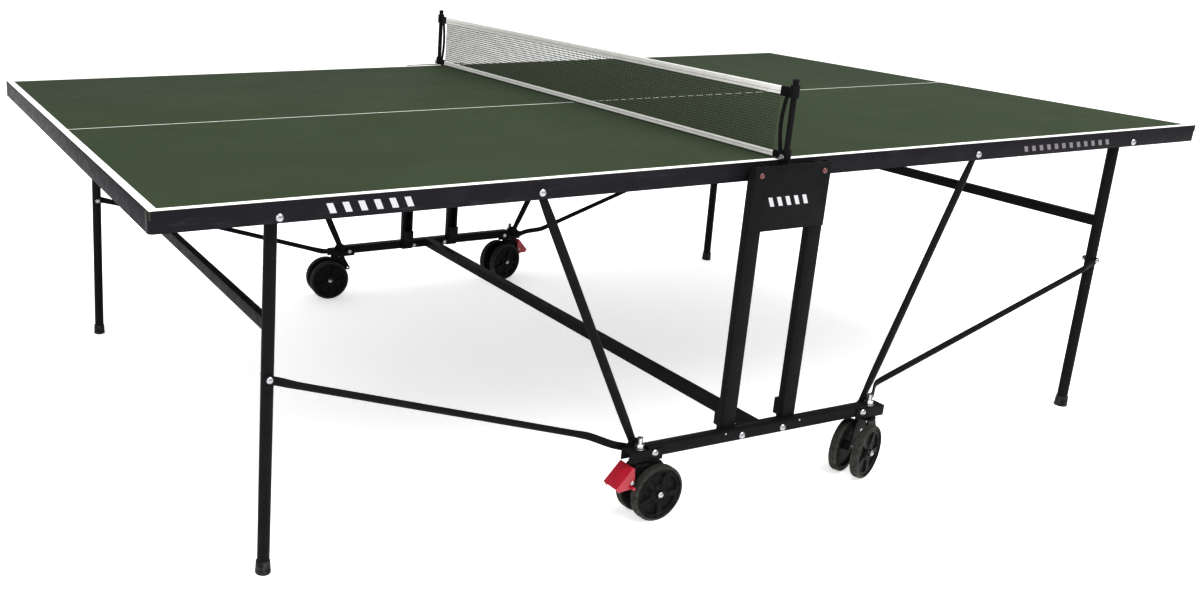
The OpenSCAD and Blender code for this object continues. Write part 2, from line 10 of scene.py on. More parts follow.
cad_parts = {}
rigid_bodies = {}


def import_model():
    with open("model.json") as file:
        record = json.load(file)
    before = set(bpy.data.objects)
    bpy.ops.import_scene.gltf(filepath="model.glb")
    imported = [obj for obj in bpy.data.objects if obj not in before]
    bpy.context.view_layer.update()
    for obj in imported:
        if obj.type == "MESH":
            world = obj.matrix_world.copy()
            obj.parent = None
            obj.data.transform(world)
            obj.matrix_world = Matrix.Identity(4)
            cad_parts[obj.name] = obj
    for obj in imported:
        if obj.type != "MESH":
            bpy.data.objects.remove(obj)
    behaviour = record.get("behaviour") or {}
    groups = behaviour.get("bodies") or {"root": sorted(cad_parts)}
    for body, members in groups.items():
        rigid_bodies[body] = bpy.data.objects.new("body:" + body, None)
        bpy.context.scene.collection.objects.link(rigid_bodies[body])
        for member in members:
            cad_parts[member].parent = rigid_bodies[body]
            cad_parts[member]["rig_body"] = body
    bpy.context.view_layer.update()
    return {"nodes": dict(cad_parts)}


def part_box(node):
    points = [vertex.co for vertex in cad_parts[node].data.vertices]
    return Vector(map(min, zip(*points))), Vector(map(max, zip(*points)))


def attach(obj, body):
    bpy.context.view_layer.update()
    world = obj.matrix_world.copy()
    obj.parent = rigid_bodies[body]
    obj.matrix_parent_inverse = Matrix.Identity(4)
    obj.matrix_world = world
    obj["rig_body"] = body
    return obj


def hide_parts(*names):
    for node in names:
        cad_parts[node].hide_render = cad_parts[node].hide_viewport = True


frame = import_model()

bl_info = {
    "name": "Table Tennis Table",
    "version": (1, 0, 0),
    "blender": (4, 5, 0),
    "location": "View3D > Sidebar > Table",
    "description": "Builds the visible pieces of a roll-away table tennis table round its frame",
    "category": "Object",
}

SIDES = ("left", "right")
ROWS = ("near", "far")
CORNERS = ("near_left", "near_right", "far_left", "far_right")
BRAKED = ("near_left", "far_right")
SIGNS = (-1, 1)
MM = 0.001
X, Y, Z = Vector((1, 0, 0)), Vector((0, 1, 0)), Vector((0, 0, 1))


# ---- Settings ------------------------------------------------------------


def length(name, description, millimetres, least=0.0, most=1000.0):
    """A size in metres, given here in millimetres"""
    return FloatProperty(
        name=name,
        description=description,
        default=millimetres * MM,
        min=least * MM,
        max=most * MM,
        precision=5,
        unit="LENGTH",
    )


def colour(name, description, red, green, blue):
    """A linear colour"""
    return FloatVectorProperty(
        name=name,
        description=description,
        default=(red, green, blue),
        min=0.0,
        max=1.0,
        size=3,
        subtype="COLOR",
    )


class TableSizes(PropertyGroup):
    """Sizes of the details that are added to the frame"""

    line_width: length("Edge line", "Width of the white lines round the boards", 17, 10, 30)
    centre_line: length("Centre line", "Width of the line along the middle", 3.6, 2, 6)
    paint: length("Paint thickness", "How far the lines stand above the board", 0.15, 0.05, 0.5)
    board_rounding: length("Board rounding", "Radius on the edges of the boards", 0.5, 0.1, 2)
    tube_rounding: length("Tube rounding", "Corner radius of the square tubes", 2.2, 0.5, 4)
    sheet_rounding: length("Sheet rounding", "Radius on pressed steel edges", 0.5, 0.1, 1)
    net_cell: length("Net mesh", "Width of one opening of the net with its thread", 6, 5, 14)
    net_thread: length("Net thread", "Thickness of the net's thread", 1.8, 0.8, 2)
    net_gap: length("Net gap", "Gap between the mesh and each post", 41, 20, 60)
    clip_reach: length("Clip reach", "How far the net clips reach in from the posts", 36, 25, 45)
    bow: length("Bow", "How far the tension rods bow inwards", 9, 0, 15)
    thread_pitch: length("Thread pitch", "Pitch of the thread on the caster stems", 1.75, 1, 3)
    pocket_depth: length("Wheel pocket", "Depth of the pockets in the wheels", 4.5, 1, 6)
    tread_groove: length("Tread groove", "Depth of the grooves round the wheels", 1.2, 0.3, 2)
    stripe_height: length("Stripe height", "Height of the slanted stripes", 19, 8, 26)
    wheel_pockets: IntProperty(
        name="Pockets", description="Pockets in each wheel", default=5, min=3, max=10
    )


class TableColours(PropertyGroup):
    """Colours of the finishes"""

    board: colour("Board", "Roller-coated playing surface", 0.0355, 0.0490, 0.0285)
    underside: colour("Underside", "Sealed underside of the boards", 0.034, 0.040, 0.030)
    line: colour("Lines", "White line paint", 0.86, 0.86, 0.84)
    apron: colour("Apron", "Powder coat of the aprons", 0.0145, 0.0132, 0.0165)
    steel: colour("Frame", "Powder coat of the frame", 0.0095, 0.0088, 0.0098)
    zinc: colour("Zinc", "Bright zinc plating", 0.40, 0.39, 0.41)
    wheel: colour("Wheel", "Moulded wheel bodies", 0.0062, 0.0062, 0.0072)
    # The treads are a lighter grey than the wheel bodies: partly their own rubber, partly a painted
    # highlight for the light they catch from above.
    tread: colour("Tread", "Treads of the wheels", 0.024, 0.024, 0.020)
    foot: colour("Foot", "Moulded feet", 0.0110, 0.0105, 0.0115)
    guide: colour("Guide block", "Sliding blocks", 0.020, 0.020, 0.021)
    rubber: colour("Rubber", "Buffers of the guides", 0.012, 0.012, 0.012)
    pedal: colour("Pedal", "Red brake pedals", 0.33, 0.010, 0.026)
    cap: colour("Cap", "Domed caps of the centre plate", 0.11, 0.024, 0.026)
    net: colour("Net", "Twisted thread of the net", 0.046, 0.052, 0.036)
    tape: colour("Tape", "Cotton tapes of the net", 0.80, 0.79, 0.76)
    stitch: colour("Stitching", "Thread of the tape seams", 0.30, 0.29, 0.27)
    stripe: colour("Stripes", "Slanted stripes on the steel", 0.46, 0.46, 0.48)
    faint: colour("Faint stripes", "Small stripes on the right aprons", 0.15, 0.14, 0.15)


class StageLook(PropertyGroup):
    """Floor, light and camera"""

    floor: colour("Floor", "Plain pale floor", 0.90, 0.90, 0.90)
    glow: FloatProperty(
        name="Floor glow", description="Light given off by the floor itself", default=0.56, min=0.0
    )
    sky: FloatProperty(
        name="Surround", description="Strength of the even light all round", default=0.80, min=0.0
    )
    key: FloatProperty(
        name="Key light", description="Power of the large soft light", default=330.0, min=0.0
    )
    fill: FloatProperty(
        name="Fill light", description="Power of the soft light from the left", default=90.0, min=0.0
    )
    gamma: FloatProperty(
        name="Gamma", description="Gamma of the picture", default=0.85, min=0.5, max=1.5
    )
    lens: FloatProperty(
        name="Lens", description="Focal length", default=35.745, min=10.0, unit="CAMERA"
    )
    shift_x: FloatProperty(name="Shift X", description="Sideways shift", default=0.2198)
    shift_y: FloatProperty(name="Shift Y", description="Upward shift", default=-0.0257)


def sizes():
    return bpy.context.scene.table_sizes


def colours():
    return bpy.context.scene.table_colours


# ---- Materials -----------------------------------------------------------


class Nodes:
    """A material's nodes, wired by short calls"""

    def __init__(self, name):
        self.material = bpy.data.materials.new(name)
        self.material.use_nodes = True
        self.tree = self.material.node_tree
        self.shader = self.tree.nodes["Principled BSDF"]
        self.place = self.add("ShaderNodeTexCoord").outputs["Object"]

    def add(self, kind, **settings):
        node = self.tree.nodes.new(kind)
        for key, value in settings.items():
            setattr(node, key, value)
        return node

    def wire(self, source, target):
        self.tree.links.new(source, target)

    def feed(self, name, source):
        """Wires source to one of the shader's inputs"""
        self.wire(source, self.shader.inputs[name])

    def stretched(self, scale):
        node = self.add("ShaderNodeMapping")
        node.inputs["Scale"].default_value = scale
        self.wire(self.place, node.inputs["Vector"])
        return node.outputs["Vector"]

    def noise(self, scale, detail=3.0, place=None):
        node = self.add("ShaderNodeTexNoise")
        node.inputs["Scale"].default_value = scale
        node.inputs["Detail"].default_value = detail
        self.wire(place or self.place, node.inputs["Vector"])
        return node.outputs["Fac"]

    def span(self, value, low, high, start=0.3, end=0.7):
        """value from start to end becomes low to high"""
        node = self.add("ShaderNodeMapRange")
        for key, number in zip(("From Min", "From Max", "To Min", "To Max"), (start, end, low, high)):
            node.inputs[key].default_value = number
        self.wire(value, node.inputs["Value"])
        return node.outputs["Result"]

    def math(self, operation, first, second=None):
        node = self.add("ShaderNodeMath", operation=operation)
        for slot, value in zip(node.inputs, (first, second)):
            if isinstance(value, (int, float)):
                slot.default_value = value
            elif value is not None:
                self.wire(value, slot)
        return node.outputs[0]

    def mix(self, amount, first, second):
        """first where amount is 0 and second where it is 1; either is a colour or a socket"""
        node = self.add("ShaderNodeMix", data_type="RGBA")
        self.wire(amount, node.inputs[0])
        for slot, value in ((node.inputs[6], first), (node.inputs[7], second)):
            if isinstance(value, bpy.types.NodeSocket):
                self.wire(value, slot)
            else:
                slot.default_value = (*value, 1.0)
        return node.outputs[2]

    def bump(self, height, distance, before=None, strength=1.0):
        node = self.add("ShaderNodeBump")
        node.inputs["Strength"].default_value = strength
        node.inputs["Distance"].default_value = distance
        self.wire(height, node.inputs["Height"])
        if before is not None:
            self.wire(before, node.inputs["Normal"])
        return node.outputs["Normal"]

    def axes(self):
        node = self.add("ShaderNodeSeparateXYZ")
        self.wire(self.place, node.inputs[0])
        return node.outputs


def shade(tint, factor):
    return tuple(min(1.0, c * factor) for c in tint)


def mottled(nodes, tint, spread, scale, detail=4.0):
    """A tint that wanders by spread either way"""
    return nodes.mix(
        nodes.span(nodes.noise(scale, detail), 0.0, 1.0),
        shade(tint, 1 - spread),
        shade(tint, 1 + spread),
    )


def coated_board(name, tint, roughness, specular):
    """Roller-coated board: fine grain, cloudy colour, a faint texture"""
    n = Nodes(name)
    cloudy = mottled(n, tint, 0.07, 5.0)
    speck = n.span(n.noise(520.0, 3.0), 0.0, 1.0, 0.35, 0.65)
    n.feed("Base Color", n.mix(n.math("MULTIPLY", speck, 0.25), cloudy, shade(tint, 2.0)))
    scuffs = n.noise(9.0, 6.0, n.stretched((1.0, 1.6, 1.0)))
    n.feed("Roughness", n.span(scuffs, roughness - 0.03, roughness + 0.03))
    n.feed("Normal", n.bump(n.noise(650.0, 3.0), 0.00006))
    n.shader.inputs["Specular IOR Level"].default_value = specular
    return n.material


def powder_coat(name, tint, roughness=0.42, specular=0.32):
    """Black powder coat: orange peel, slight cloudiness, fine scuffs that catch the light"""
    n = Nodes(name)
    base = mottled(n, tint, 0.14, 22.0)
    scuff = n.span(n.noise(14.0, 9.0, n.stretched((1.0, 1.0, 5.0))), 0.0, 0.35, 0.62, 0.74)
    n.feed("Base Color", n.mix(scuff, base, shade(tint, 3.2)))
    n.feed("Roughness", n.span(n.noise(60.0, 3.0), roughness - 0.07, roughness + 0.07))
    peel = n.bump(n.noise(420.0, 1.5), 0.00005)
    n.feed("Normal", n.bump(n.noise(2200.0, 1.0), 0.00001, peel))
    n.shader.inputs["Specular IOR Level"].default_value = specular
    return n.material


def zinc_plate(name, tint):
    """Bright zinc: cloudy blue-grey with turned marks"""
    n = Nodes(name)
    n.feed("Base Color", mottled(n, tint, 0.16, 160.0))
    n.feed("Roughness", n.span(n.noise(300.0, 4.0), 0.22, 0.42))
    n.feed("Normal", n.bump(n.noise(900.0, 2.0), 0.00003))
    n.shader.inputs["Metallic"].default_value = 1.0
    return n.material


def moulded(name, tint, roughness, specular=0.4, grain=700.0, depth=0.00004, dust=0.0, coat=0.0):
    """Moulded plastic or rubber: leather-like grain, with pale dust low down where dust is above 0"""
    n = Nodes(name)
    base = mottled(n, tint, 0.12, 40.0)
    if dust:
        low = n.span(n.axes()["Z"], dust, 0.05, 0.0, 0.14)
        amount = n.math("MULTIPLY", low, n.span(n.noise(90.0, 6.0), 0.0, 1.0, 0.42, 0.68))
        base = n.mix(amount, base, (0.15, 0.145, 0.135))
    n.feed("Base Color", base)
    n.feed("Roughness", n.span(n.noise(75.0, 4.0), roughness - 0.08, roughness + 0.08))
    n.feed("Normal", n.bump(n.noise(grain, 2.0), depth))
    n.shader.inputs["Specular IOR Level"].default_value = specular
    n.shader.inputs["Coat Weight"].default_value = coat
    n.shader.inputs["Coat Roughness"].default_value = 0.18
    return n.material


def line_paint(name, tint, roughness=0.5):
    """Screen-printed paint: faint grain and a few worn specks"""
    n = Nodes(name)
    worn = n.span(n.noise(210.0, 6.0), 0.0, 0.5, 0.66, 0.78)
    n.feed("Base Color", n.mix(worn, mottled(n, tint, 0.03, 14.0), shade(tint, 0.72)))
    n.feed("Roughness", n.span(n.noise(50.0, 3.0), roughness - 0.06, roughness + 0.06))
    n.feed("Normal", n.bump(n.noise(900.0, 2.0), 0.00003))
    return n.material


def woven_tape(name, tint, stitch, seam_height):
    """Cotton tape: plain weave, with a stitched seam at seam_height"""
    weave_pitch, stitch_pitch, stitch_gap = 0.0011, 0.0034, 0.28
    n = Nodes(name)
    axes = n.axes()
    thread = 2 * math.pi / weave_pitch
    warp = n.math("SINE", n.math("MULTIPLY", axes["Y"], thread))
    weft = n.math("SINE", n.math("MULTIPLY", axes["Z"], thread))
    weave = n.math("MULTIPLY", warp, weft)
    along = n.math("FRACT", n.math("MULTIPLY", axes["Y"], 1 / stitch_pitch))
    dash = n.math("GREATER_THAN", along, stitch_gap)
    away = n.math("ABSOLUTE", n.math("SUBTRACT", axes["Z"], seam_height))
    seam = n.span(away, 1.0, 0.0, 0.0004, 0.0009)
    base = mottled(n, tint, 0.05, 30.0)
    base = n.mix(n.span(weave, 0.0, 0.25, -1.0, 1.0), base, shade(tint, 0.8))
    n.feed("Base Color", n.mix(n.math("MULTIPLY", seam, dash), base, stitch))
    folds = n.bump(n.noise(60.0, 3.0), 0.0004)
    sewn = n.bump(n.math("SUBTRACT", 1.0, seam), 0.0005, folds)
    n.feed("Normal", n.bump(weave, 0.00008, sewn))
    n.feed("Roughness", n.span(n.noise(120.0), 0.78, 0.92))
    n.shader.inputs["Sheen Weight"].default_value = 0.25
    return n.material


def twisted_thread(name, tint):
    """Twisted synthetic thread: short slanting strands and a soft sheen"""
    n = Nodes(name)
    strand = n.noise(900.0, 2.0, n.stretched((1.0, 1.0, 0.45)))
    n.feed("Base Color", n.mix(n.span(strand, 0.0, 1.0), shade(tint, 0.6), shade(tint, 1.7)))
    n.feed("Normal", n.bump(strand, 0.0002))
    n.feed("Roughness", n.span(strand, 0.62, 0.82))
    n.shader.inputs["Specular IOR Level"].default_value = 0.12
    return n.material


MAKERS = {
    "board": lambda c: coated_board("board_coat", c.board, 0.66, 0.03),
    "underside": lambda c: coated_board("board_underside", c.underside, 0.68, 0.10),
    "line": lambda c: line_paint("line_paint", c.line),
    "stripe": lambda c: line_paint("stripe_paint", c.stripe, 0.45),
    "faint": lambda c: line_paint("faint_stripe_paint", c.faint, 0.45),
    "apron": lambda c: powder_coat("apron_coat", c.apron, 0.46, 0.06),
    "steel": lambda c: powder_coat("frame_coat", c.steel, 0.48, 0.05),
    "zinc": lambda c: zinc_plate("bright_zinc", c.zinc),
    "wheel": lambda c: moulded("wheel_plastic", c.wheel, 0.48, 0.05, dust=0.06),
    # Tread finish: its lighter grey is partly the rubber's own colour and partly a painted highlight from
    # above.
    "tread": lambda c: moulded("wheel_tread", c.tread, 0.66, 0.12, 500.0, 0.00006, dust=0.35),
    "foot": lambda c: moulded("foot_plastic", c.foot, 0.50, 0.10, dust=0.3),
    "guide": lambda c: moulded("guide_plastic", c.guide, 0.42, 0.12),
    "rubber": lambda c: moulded("buffer_rubber", c.rubber, 0.70, 0.10, 450.0, 0.00008),
    "pedal": lambda c: moulded("pedal_red", c.pedal, 0.38, 0.45, 500.0, 0.00003, coat=0.25),
    "cap": lambda c: moulded("cap_red", c.cap, 0.30, 0.45, 500.0, 0.00002, coat=0.4),
    "net": lambda c: twisted_thread("net_thread", c.net),
    "top_tape": lambda c: woven_tape("top_tape", c.tape, c.stitch, 900.5 * MM),
    "low_tape": lambda c: woven_tape("low_tape", c.tape, c.stitch, 769.0 * MM),
}
made_materials = {}


def finish_of(name):
    if name not in made_materials:
        made_materials[name] = MAKERS[name](colours())
    return made_materials[name]


# ---- Shapes --------------------------------------------------------------


def metres(*points):
    """Points of a profile that are given in millimetres"""
    return [(radius * MM, height * MM) for radius, height in points]


def unique(things):
    """The things without repeats and in their first order, which is the same in every run"""
    return list(dict.fromkeys(things))


def aimed(centre, direction):
    """A matrix that takes local Z to direction and the origin to centre"""
    turn = Vector(direction).to_track_quat("Z", "Y").to_matrix().to_4x4()
    return Matrix.Translation(centre) @ turn


def block(bm, low, high, rounding=0.0, segments=2):
    """A box between two corners, with its edges rounded"""
    low, high = Vector(low), Vector(high)
    size = high - low
    place = Matrix.Translation((low + high) / 2) @ Matrix.Diagonal((*size, 1.0))
    verts = bmesh.ops.create_cube(bm, size=1.0, matrix=place)["verts"]
    if rounding:
        round_edges(bm, unique(e for v in verts for e in v.link_edges), rounding, segments)


def round_edges(bm, edges, width, segments=2):
    bmesh.ops.bevel(
        bm,
        geom=edges,
        offset=width,
        offset_type="OFFSET",
        segments=segments,
        profile=0.5,
        affect="EDGES",
        clamp_overlap=True,
        material=-1,
    )


def turned(bm, profile, place, steps=48, closed=False):
    """Spins a profile of (radius, height) points, in metres, round local Z and puts it at place"""
    before = set(bm.verts)
    verts = [bm.verts.new((radius, 0.0, height)) for radius, height in profile]
    edges = [bm.edges.new(pair) for pair in zip(verts, verts[1:])]
    if closed:
        edges.append(bm.edges.new((verts[-1], verts[0])))
    bmesh.ops.spin(
        bm,
        geom=verts + edges,
        cent=(0, 0, 0),
        axis=(0, 0, 1),
        angle=2 * math.pi,
        steps=steps,
        use_merge=True,
        use_duplicate=False,
    )
    made = [v for v in bm.verts if v not in before]
    bmesh.ops.remove_doubles(bm, verts=made, dist=1e-6)
    made = [v for v in bm.verts if v not in before]
    bmesh.ops.recalc_face_normals(bm, faces=unique(f for v in made for f in v.link_faces))
    bmesh.ops.transform(bm, matrix=place, verts=made)


def hex_nut(bm, place, flats, height):
    """A chamfered hexagon nut that stands from local Z 0 to height"""
    reach = flats / math.sqrt(3)
    made = bmesh.ops.create_cone(
        bm,
        cap_ends=True,
        segments=6,
        radius1=reach,
        radius2=reach,
        depth=height,
        matrix=place @ Matrix.Translation((0, 0, height / 2)),
    )["verts"]
    axis = place.to_3x3() @ Z
    edges = unique(e for v in made for e in v.link_edges)
    rims = [e for e in edges if abs((e.verts[0].co - e.verts[1].co).normalized().dot(axis)) < 0.1]
    round_edges(bm, rims, min(0.12 * flats, 0.3 * height), 1)


def ring(bm, centre, across, thin, half_width, half_thickness, count=20):
    """An oval loop of edges round centre"""
    run = across.cross(thin)
    place = Matrix.Translation(centre) @ Matrix(
        ((across * half_width), (thin * half_thickness), run)
    ).transposed().to_4x4()
    verts = bmesh.ops.create_circle(bm, cap_ends=False, segments=count, radius=1.0, matrix=place)["verts"]
    return unique(e for v in verts for e in v.link_edges)


def oval_tube(bm, stations, thin=Y):
    """A closed tube through stations of (centre, half width, half thickness)"""
    before = set(bm.verts)
    loops = []
    points = [Vector(s[0]) for s in stations]
    for i, (_, half_width, half_thickness) in enumerate(stations):
        run = (points[min(i + 1, len(points) - 1)] - points[max(i - 1, 0)]).normalized()
        across = thin.cross(run).normalized()
        loops.append(ring(bm, points[i], across, run.cross(across), half_width, half_thickness))
    for first, second in zip(loops, loops[1:]):
        bmesh.ops.bridge_loops(bm, edges=first + second)
    for loop in (loops[0], loops[-1]):
        bmesh.ops.edgeloop_fill(bm, edges=loop)
    made = [v for v in bm.verts if v not in before]
    bmesh.ops.recalc_face_normals(bm, faces=unique(f for v in made for f in v.link_faces))


def eye_end(tip, run, radius, half_thickness):
    """Stations of a flattened round end, from its outermost point inwards"""
    stations = []
    for degrees in (4, 20, 38, 58, 90):
        a = math.radians(degrees)
        thickness = half_thickness * min(1.0, 0.5 + math.sin(a))
        stations.append((tip - run * radius * math.cos(a), radius * math.sin(a) + 1e-5, thickness))
    return stations


def piece(name, bm, body, finishes, replaces=(), sharp=38.0):
    """Makes the mesh an object that rides on a body and stands for CAD nodes; sharp is in degrees"""
    bm.normal_update()
    for face in bm.faces:
        face.smooth = True
    for edge in bm.edges:
        edge.smooth = len(edge.link_faces) == 2 and edge.calc_face_angle() < math.radians(sharp)
    mesh = bpy.data.meshes.new(name)
    bm.to_mesh(mesh)
    bm.free()
    for finish in finishes:
        mesh.materials.append(finish_of(finish))
    made = bpy.data.objects.new(name, mesh)
    bpy.context.scene.collection.objects.link(made)
    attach(made, body)
    if replaces:
        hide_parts(*replaces)
    return made


def body_of(node):
    return frame["nodes"][node]["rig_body"]


def softened(node, finish, rounding, shortest=20 * MM, segments=2):
    """A CAD node's shape, with its sharp outer edges rounded where they are not shorter than shortest"""
    weld, level, corner, room = 2e-6, math.radians(0.4), math.radians(50), 2.2
    bm = bmesh.new()
    bm.from_mesh(frame["nodes"][node].data)
    bmesh.ops.remove_doubles(bm, verts=bm.verts, dist=weld)
    bmesh.ops.dissolve_limit(bm, angle_limit=level, verts=bm.verts, edges=bm.edges)
    chosen = []
    for edge in bm.edges:
        span = edge.calc_length()
        if len(edge.link_faces) != 2 or span < shortest or not edge.is_convex:
            continue
        if edge.calc_face_angle() < corner:
            continue
        if min(f.calc_area() / span for f in edge.link_faces) > room * rounding:
            chosen.append(edge)
    if chosen:
        round_edges(bm, chosen, rounding, segments)
    bmesh.ops.triangulate(bm, faces=[f for f in bm.faces if len(f.verts) > 4])
    return piece(node + "_finished", bm, body_of(node), [finish], [node])


def plated(node, finish="zinc"):
    """A bolt, pin or axle"""
    softened(node, finish, 0.4 * MM, 2 * MM)


# ---- Boards and aprons ---------------------------------------------------


class TABLE_OT_boards(Operator):
    """Makes the two coated boards"""

    bl_idname = "table.boards"
    bl_label = "Boards"

    def execute(self, context):
        for side in SIDES:
            node = side + "_top"
            low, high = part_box(node)
            bm = bmesh.new()
            block(bm, low, high, sizes().board_rounding, 3)
            bm.normal_update()
            for face in bm.faces:
                face.material_index = 1 if face.normal.z < -0.5 else 0
            piece(side + "_board", bm, body_of(node), ["board", "underside"], [node])
        return {"FINISHED"}


class TABLE_OT_lines(Operator):
    """Paints the lines on the boards"""

    bl_idname = "table.lines"
    bl_label = "Lines"

    def execute(self, context):
        wide, thin, proud = sizes().line_width, sizes().centre_line / 2, sizes().paint
        inset = 0.6 * MM
        for side in SIDES:
            low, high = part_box(side + "_top")
            top = high.z
            outer, inner = low.x + inset, high.x - inset
            if side == "right":
                outer, inner = inner, outer
            turn = outer + math.copysign(wide, inner - outer)
            edge = high.y - inset
            strips = [
                (inner, outer, edge - wide, edge),
                (inner, outer, -edge, wide - edge),
                (turn, outer, wide - edge, edge - wide),
                (inner, turn, -thin, thin),
            ]
            bm = bmesh.new()
            for x0, x1, y0, y1 in strips:
                block(bm, (min(x0, x1), y0, top - proud), (max(x0, x1), y1, top + proud))
            piece(side + "_lines", bm, side + "_half", ["line"])
        return {"FINISHED"}


class TABLE_OT_aprons(Operator):
    """Finishes the steel aprons and the braces under the boards"""

    bl_idname = "table.aprons"
    bl_label = "Aprons"

    def execute(self, context):
        for side in SIDES:
            for part in ("side_rails", "end_rails"):
                softened(f"{side}_{part}", "apron", sizes().sheet_rounding)
            softened(side + "_braces", "steel", sizes().sheet_rounding)
        return {"FINISHED"}


# ---- Fasteners -----------------------------------------------------------


class TABLE_OT_fasteners(Operator):
    """Makes the bolts, pins and nuts of the halves and the base"""

    bl_idname = "table.fasteners"
    bl_label = "Fasteners"

    def execute(self, context):
        for side in SIDES:
            plated(side + "_pivot_pins", "steel")
            for part in ("apron_bolts", "leg_bolts"):
                plated(f"{side}_{part}")
        plated("base_bolts")
        return {"FINISHED"}


# ---- Legs ----------------------------------------------------------------


# from the sole up: how far the side lies inside the widest radius, and its height, in millimetres
FOOT_PROFILE = (
    (3.2, 0), (1.8, 0.8), (1.2, 2.6), (1.6, 8), (2.6, 8.8),
    (2.6, 10), (1.9, 10.8), (2.4, 24), (3.0, 27), (4.0, 27.8),
)


class TABLE_OT_legs(Operator):
    """Finishes the leg tubes and crossbars and makes the feet"""

    bl_idname = "table.legs"
    bl_label = "Legs and feet"

    def execute(self, context):
        for side in SIDES:
            softened(side + "_legs", "steel", 0.3 * MM, 400 * MM)
            softened(side + "_leg_crossbar", "steel", 1.8 * MM, 200 * MM)
            self.feet(side)
        return {"FINISHED"}

    def feet(self, side):
        node = side + "_feet"
        low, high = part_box(node)
        radius = (high.x - low.x) / 2
        side_line = [(radius - inside * MM, height * MM) for inside, height in FOOT_PROFILE]
        profile = [(0, 0), *side_line, (0, side_line[-1][1])]
        bm = bmesh.new()
        for sign in SIGNS:
            centre = Vector(((low.x + high.x) / 2, sign * (high.y - radius), 0))
            turned(bm, profile, Matrix.Translation(centre), 40)
        piece(side + "_foot_caps", bm, body_of(node), ["foot"], [node])


# ---- Struts and rods -----------------------------------------------------


EYE = 9 * MM
# distances from the middle along Y: the lower and upper eyes of the struts
STRUT_LOW_Y, STRUT_TOP_Y = 778.5 * MM, 752.5 * MM
# the rods' lower eyes, their straight tubes and their upper eyes
ROD_FOOT_Y, ROD_TUBE_Y, ROD_LEG_Y = 768.5 * MM, 735.5 * MM, 731.3 * MM
# distance from the nearer eye, half width and half thickness of a strut, in millimetres
STRUT_TAPER = ((22, 9.2, 3.8), (40, 9.8, 4.8), (62, 10.3, 5.5), (90, 10.5, 5.8))
# the same for the rods above the lower bend, then below the upper eye, where the second number
# is how far the rod has come in from its straight tube
ROD_START = ((100, 8.4, 3.6), (112, 8.0, 5.2), (126, 7.4, 6.4), (150, 7.2, 6.8))
ROD_END = ((66, 0.0, 7.2, 6.8), (52, 0.3, 7.6, 5.8), (38, 1.8, 8.4, 4.2))


class TABLE_OT_links(Operator):
    """Makes the oval struts and the thin rods with their flattened ends"""

    bl_idname = "table.links"
    bl_label = "Struts and rods"

    def execute(self, context):
        for side in SIDES:
            self.struts(side)
            self.rods(side)
        return {"FINISHED"}

    def ends(self, node):
        """The inner low and outer high eye centres, with y left at 0, and how far out the pins reach"""
        low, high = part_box(node)
        inner, outer = low.x + EYE, high.x - EYE
        if high.x < 0:
            inner, outer = outer, inner
        return Vector((inner, 0, low.z + EYE)), Vector((outer, 0, high.z - EYE)), high.y

    def struts(self, side):
        node = side + "_struts"
        low, top, stub = self.ends(node)
        flat, pin_radius, pin_length = 3.6 * MM, 5 * MM, stub - STRUT_LOW_Y
        bm = bmesh.new()
        for sign in SIGNS:
            a = low + Y * sign * STRUT_LOW_Y
            b = top + Y * sign * STRUT_TOP_Y
            run = (b - a).normalized()
            reach = (b - a).length
            stations = eye_end(a, run, EYE, flat)
            for along, half_width, half_thick in STRUT_TAPER:
                stations.append((a + run * along * MM, half_width * MM, half_thick * MM))
            for along, half_width, half_thick in reversed(STRUT_TAPER):
                stations.append((a + run * (reach - along * MM), half_width * MM, half_thick * MM))
            stations += reversed(eye_end(b, -run, EYE, flat))
            oval_tube(bm, stations)
            pin = [(0, 0), (4.6 * MM, 0), (pin_radius, 0.4 * MM), (pin_radius, pin_length), (0, pin_length)]
            turned(bm, pin, aimed(a, Y * sign), 24)
        piece(side + "_strut_tubes", bm, body_of(node), ["steel"], [node])

    def rods(self, side):
        node = side + "_rods"
        low, top, stub = self.ends(node)
        foot_y, tube_y, leg_y = ROD_FOOT_Y, ROD_TUBE_Y, ROD_LEG_Y
        flat, pin_radius, pin_length = 2.5 * MM, 4 * MM, stub - foot_y
        bend_start, bend_length, bend_steps = 34, 62, 8
        run = (top - low).normalized()
        reach = (top - low).length
        bm = bmesh.new()
        for sign in SIGNS:

            def at(along, y):
                return low + run * along + Y * sign * y

            stations = eye_end(at(0, foot_y), run, EYE, flat)
            stations.append((at(22 * MM, foot_y), 8.8 * MM, flat))
            stations.append((at(bend_start * MM, foot_y - 0.6 * MM), 8.6 * MM, flat))
            for step in range(1, bend_steps):
                t = step / bend_steps
                y = foot_y + (tube_y - foot_y) * t * t * (3 - 2 * t)
                stations.append((at((bend_start + bend_length * t) * MM, y), 8.5 * MM, flat + 0.3 * MM * t))
            for along, half_width, half_thick in ROD_START:
                stations.append((at(along * MM, tube_y), half_width * MM, half_thick * MM))
            for along, inwards, half_width, half_thick in ROD_END:
                place = at(reach - along * MM, tube_y - inwards * MM)
                stations.append((place, half_width * MM, half_thick * MM))
            stations.append((at(reach - 24 * MM, leg_y + 0.4 * MM), 8.6 * MM, 2.8 * MM))
            stations += reversed(eye_end(at(reach, leg_y), -run, EYE, flat))
            oval_tube(bm, stations)
            pin = [(0, 0), (pin_radius, 0), (pin_radius, pin_length), (0, pin_length)]
            turned(bm, pin, aimed(at(0, foot_y), Y * sign), 24)
        piece(side + "_rod_tubes", bm, body_of(node), ["steel"], [node])


# ---- Base ----------------------------------------------------------------


